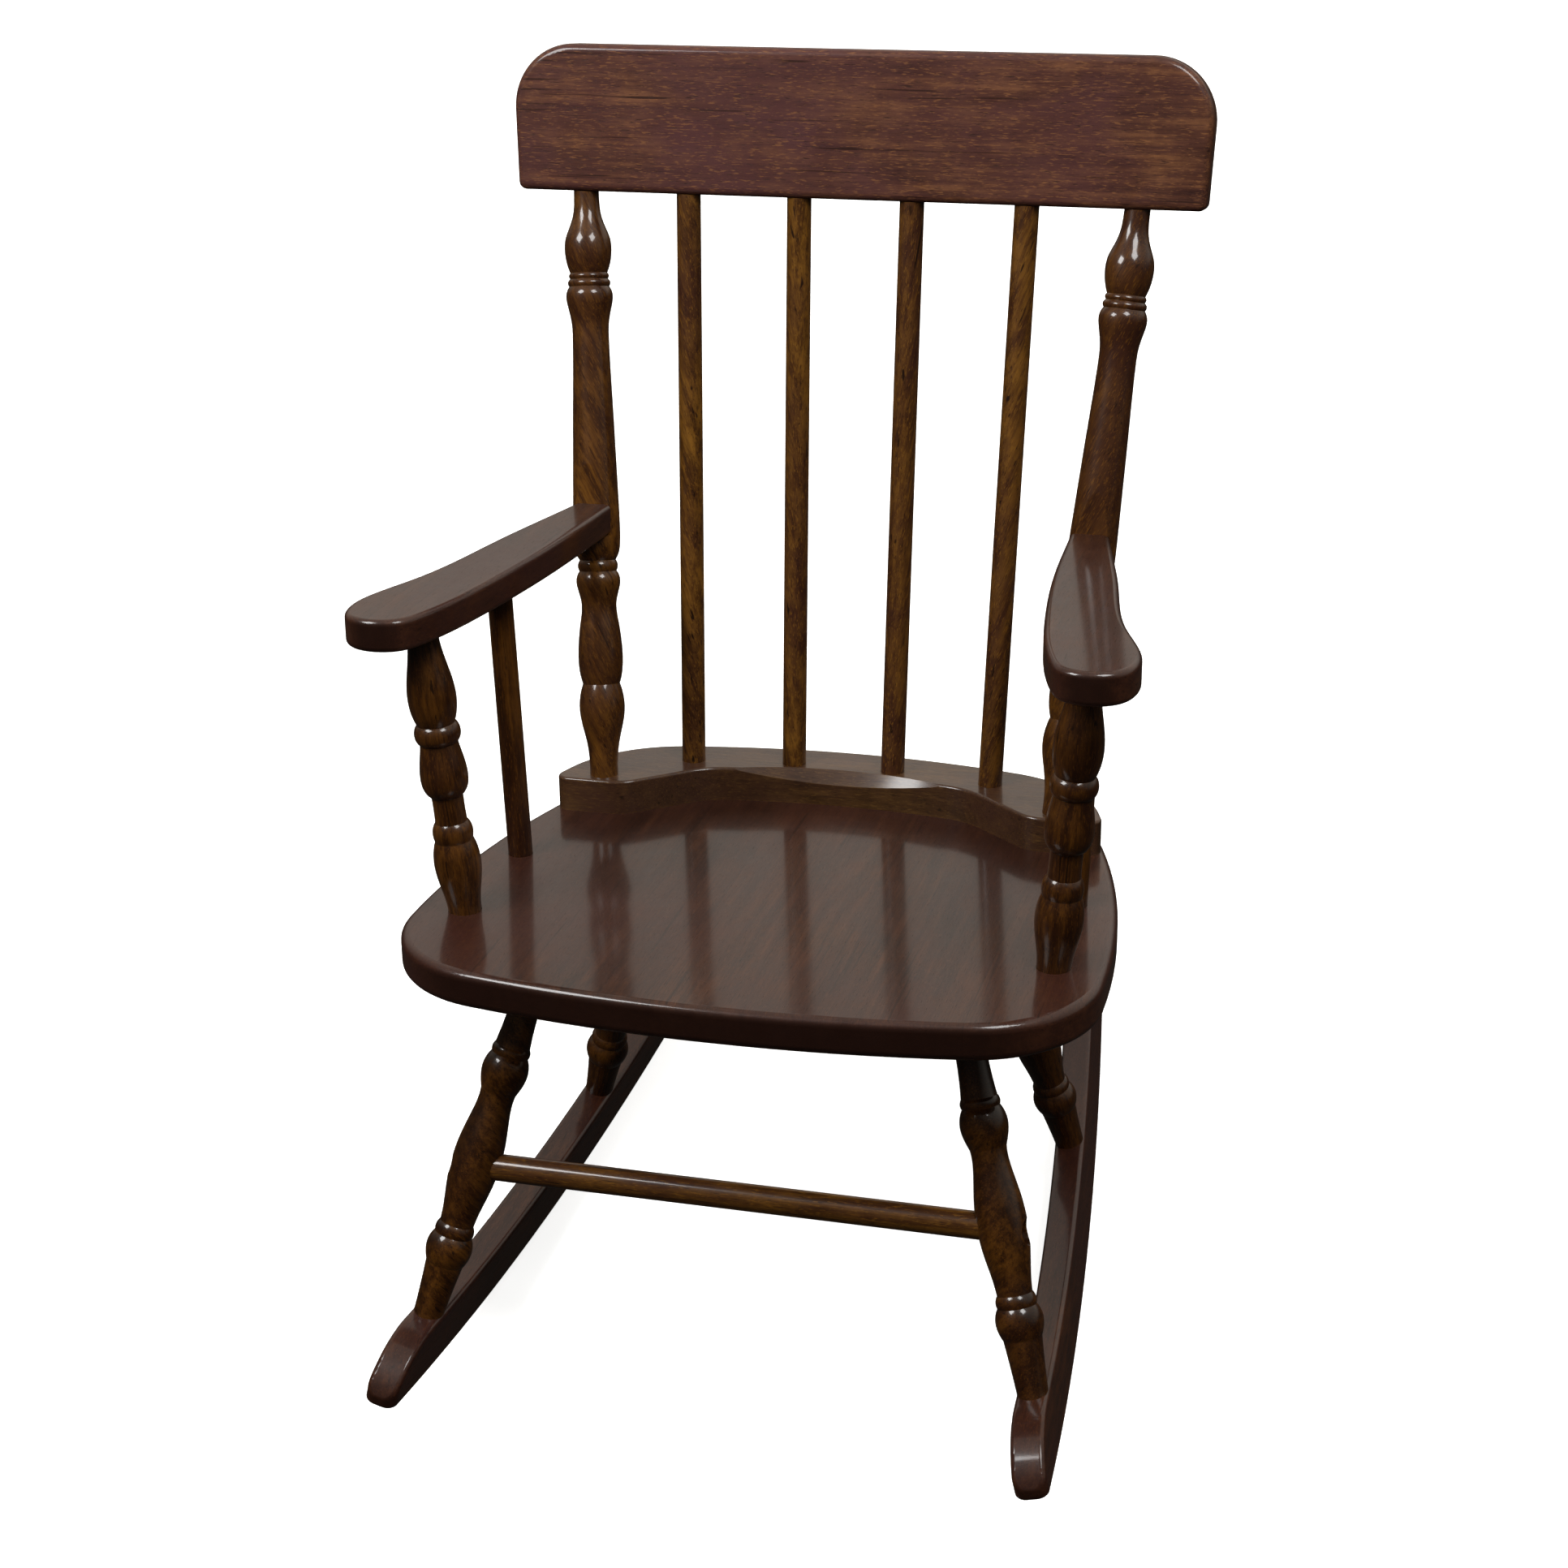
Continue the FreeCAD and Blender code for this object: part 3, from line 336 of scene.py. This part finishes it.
def longWay(piece):
    # the direction in which a piece is longest, from the middle of one end to the middle of the other
    points = [vertex.co for vertex in piece.data.vertices]
    middle = sum(points, Vector()) / len(points)
    far = max(points, key=lambda point: (point - middle).length)
    way = (far - middle).normalized()
    ends = [sum((p for p in points if side * (p - middle).dot(way) > 0.9 * (far - middle).length), Vector())
            / max(1, sum(side * (p - middle).dot(way) > 0.9 * (far - middle).length for p in points))
            for side in (1, -1)]
    return (ends[0] - ends[1]).normalized()


leanBack = math.radians(10.853)
sideways = Vector((1, 0, 0))
depth = Vector((0, math.cos(leanBack), -math.sin(leanBack)))

# finish of each piece: its stain, which way its grain runs (None: along the piece),
# the roughness of the wood and the weight of its lacquer
finish = {
    "crest_rail": ("crest", sideways, 0.36, 0.40),
    "seat": ("seat", depth, 0.34, 0.55),
    "back_rail": ("rail", sideways, 0.34, 0.60),
    "arm_left": ("seat", depth, 0.34, 0.60),
    "arm_right": ("seat", depth, 0.34, 0.60),
    "rocker_left": ("rocker", depth, 0.36, 0.50),
    "rocker_right": ("rocker", depth, 0.36, 0.50),
    "front_stretcher": ("dowel", sideways, 0.32, 0.60),
    "back_post_left": ("turned", None, 0.30, 0.60),
    "back_post_right": ("turned", None, 0.30, 0.60),
    # painted shade: arm posts and legs take the darkened turned tone
    "arm_post_left": ("shadedTurned", None, 0.30, 0.60),
    "arm_post_right": ("shadedTurned", None, 0.30, 0.60),
    "front_leg_left": ("shadedTurned", None, 0.30, 0.60),
    "front_leg_right": ("shadedTurned", None, 0.30, 0.60),
    "rear_leg_left": ("shadedTurned", None, 0.30, 0.60),
    "rear_leg_right": ("shadedTurned", None, 0.30, 0.60),
    "back_spindle_1": ("dowel", None, 0.32, 0.45),
    "back_spindle_2": ("dowel", None, 0.32, 0.45),
    "back_spindle_3": ("dowel", None, 0.32, 0.45),
    "back_spindle_4": ("dowel", None, 0.32, 0.45),
    # painted shade: the arm spindles take the darkened turned tone
    "arm_spindle_left": ("shadedTurned", None, 0.32, 0.45),
    "arm_spindle_right": ("shadedTurned", None, 0.32, 0.45),
    "arm_plugs": ("turned", depth, 0.34, 0.60),
}

for number, (nodeName, (tone, direction, roughness, coat)) in enumerate(finish.items()):
    piece = nodes[nodeName]
    if direction is None:
        direction = longWay(piece)
    shift = (0.37 * number, 0.11 * number, 0.23 * number)  # no two pieces are cut from one place of the board
    boards = grain["boardWidth"] if nodeName == "seat" else 0.0
    wood = makeStainedWood(f"{nodeName}Wood", stain[tone], direction, shift, roughness, coat, boards,
                           *habit[tone])
    for slot in piece.material_slots:
        slot.material = wood
print("wood: stained and lacquered", len(finish), "pieces")

steel = makeScrewSteel("screwSteel")
for nodeName in ("rail_screws", "arm_screws", "rocker_screws"):
    for slot in nodes[nodeName].material_slots:
        slot.material = steel
print("screws: plated steel")

# floor and studio
bpy.ops.object.select_all(action="DESELECT")
bpy.ops.mesh.primitive_plane_add(size=studio["floorSize"], location=(0.0, 0.0, 0.0))
floor = bpy.context.object
floor.name = "studioFloor"
paper = bpy.data.materials.new("palePaper")
paper.use_nodes = True
paperShader = paper.node_tree.nodes["Principled BSDF"]
paperPlace = addNode(paper.node_tree, "ShaderNodeTexCoord", (-900, 0))
paperCloud = addNoise(paper.node_tree, (-700, 0), paperPlace.outputs["Object"], 3.0, 3.0)
paperColour = addMix(paper.node_tree, (-200, 0), paperCloud, studio["floorTone"], studio["floorCloud"])
link(paper.node_tree, paperColour, paperShader.inputs["Base Color"])
paperShader.inputs["Roughness"].default_value = 0.9
paperShader.inputs["Emission Color"].default_value = (*studio["floorTone"], 1.0)
paperShader.inputs["Emission Strength"].default_value = studio["floorGlow"]
floor.data.materials.append(paper)
floor.visible_glossy = False  # the chair stands over paper that is kept out of its lacquer
floor.visible_diffuse = False
bpy.ops.object.select_all(action="DESELECT")
bpy.ops.mesh.primitive_uv_sphere_add(segments=48, ring_count=24, radius=studio["domeSize"])
dome = bpy.context.object
dome.name = "studioDome"
for light in ("visible_glossy", "visible_diffuse", "visible_shadow", "visible_transmission"):
    setattr(dome, light, False)
haze = bpy.data.materials.new("whiteHaze")
haze.use_nodes = True
hazeShader = haze.node_tree.nodes["Principled BSDF"]
hazeShader.inputs["Base Color"].default_value = (0.0, 0.0, 0.0, 1.0)
hazeShader.inputs["Specular IOR Level"].default_value = 0.0
hazeShader.inputs["Emission Color"].default_value = (1.0, 1.0, 1.0, 1.0)
hazeShader.inputs["Emission Strength"].default_value = studio["domeGlow"]
dome.data.materials.append(haze)

world = bpy.data.worlds.new("studioWalls")
bpy.context.scene.world = world
world.use_nodes = True
walls = world.node_tree.nodes["Background"]
walls.inputs["Color"].default_value = (*studio["wallTone"], 1.0)
wallPlace = addNode(world.node_tree, "ShaderNodeTexCoord", (-900, 0))
wallAim = addNode(world.node_tree, "ShaderNodeVectorMath", (-700, 0), operation="DOT_PRODUCT")
link(world.node_tree, wallPlace.outputs["Generated"], wallAim.inputs[0])
wallAim.inputs[1].default_value = studio["wallAim"]
behind = addRange(world.node_tree, (-500, 0), wallAim.outputs["Value"], -0.05, 0.9,
                  studio["wallFront"], studio["wallBack"])
wallSplit = addNode(world.node_tree, "ShaderNodeSeparateXYZ", (-700, -250))
link(world.node_tree, wallPlace.outputs["Generated"], wallSplit.inputs[0])
above = addRange(world.node_tree, (-500, -250), wallSplit.outputs["Z"], -0.12, 0.16, 0.0, 1.0)
link(world.node_tree, addMath(world.node_tree, "MULTIPLY_ADD", (-250, 0), behind, above, studio["wallBelow"]),
     walls.inputs["Strength"])

for boxName, box in studio["boxes"].items():
    light = bpy.data.lights.new(boxName, "AREA")
    light.shape = "RECTANGLE"
    light.size, light.size_y = box["size"]
    light.energy = box["power"]
    holder = bpy.data.objects.new(boxName, light)
    bpy.context.scene.collection.objects.link(holder)
    holder.location = box["place"]
    holder.visible_glossy = box["mirrored"]
    aim = Vector(box["aim"]) - Vector(box["place"])
    holder.rotation_euler = aim.to_track_quat("-Z", "Y").to_euler()
print("studio: floor, walls and", len(studio["boxes"]), "soft boxes")

cameraData = bpy.data.cameras.new("studioCamera")
cameraData.lens = camera["lens"]
cameraData.sensor_width = 36.0
cameraData.shift_x, cameraData.shift_y = camera["shift"]
cameraHolder = bpy.data.objects.new("studioCamera", cameraData)
bpy.context.scene.collection.objects.link(cameraHolder)
cameraHolder.location = camera["place"]
cameraHolder.rotation_euler = [math.radians(angle) for angle in camera["turn"]]
bpy.context.scene.camera = cameraHolder
bpy.context.scene.view_settings.view_transform = "Standard"
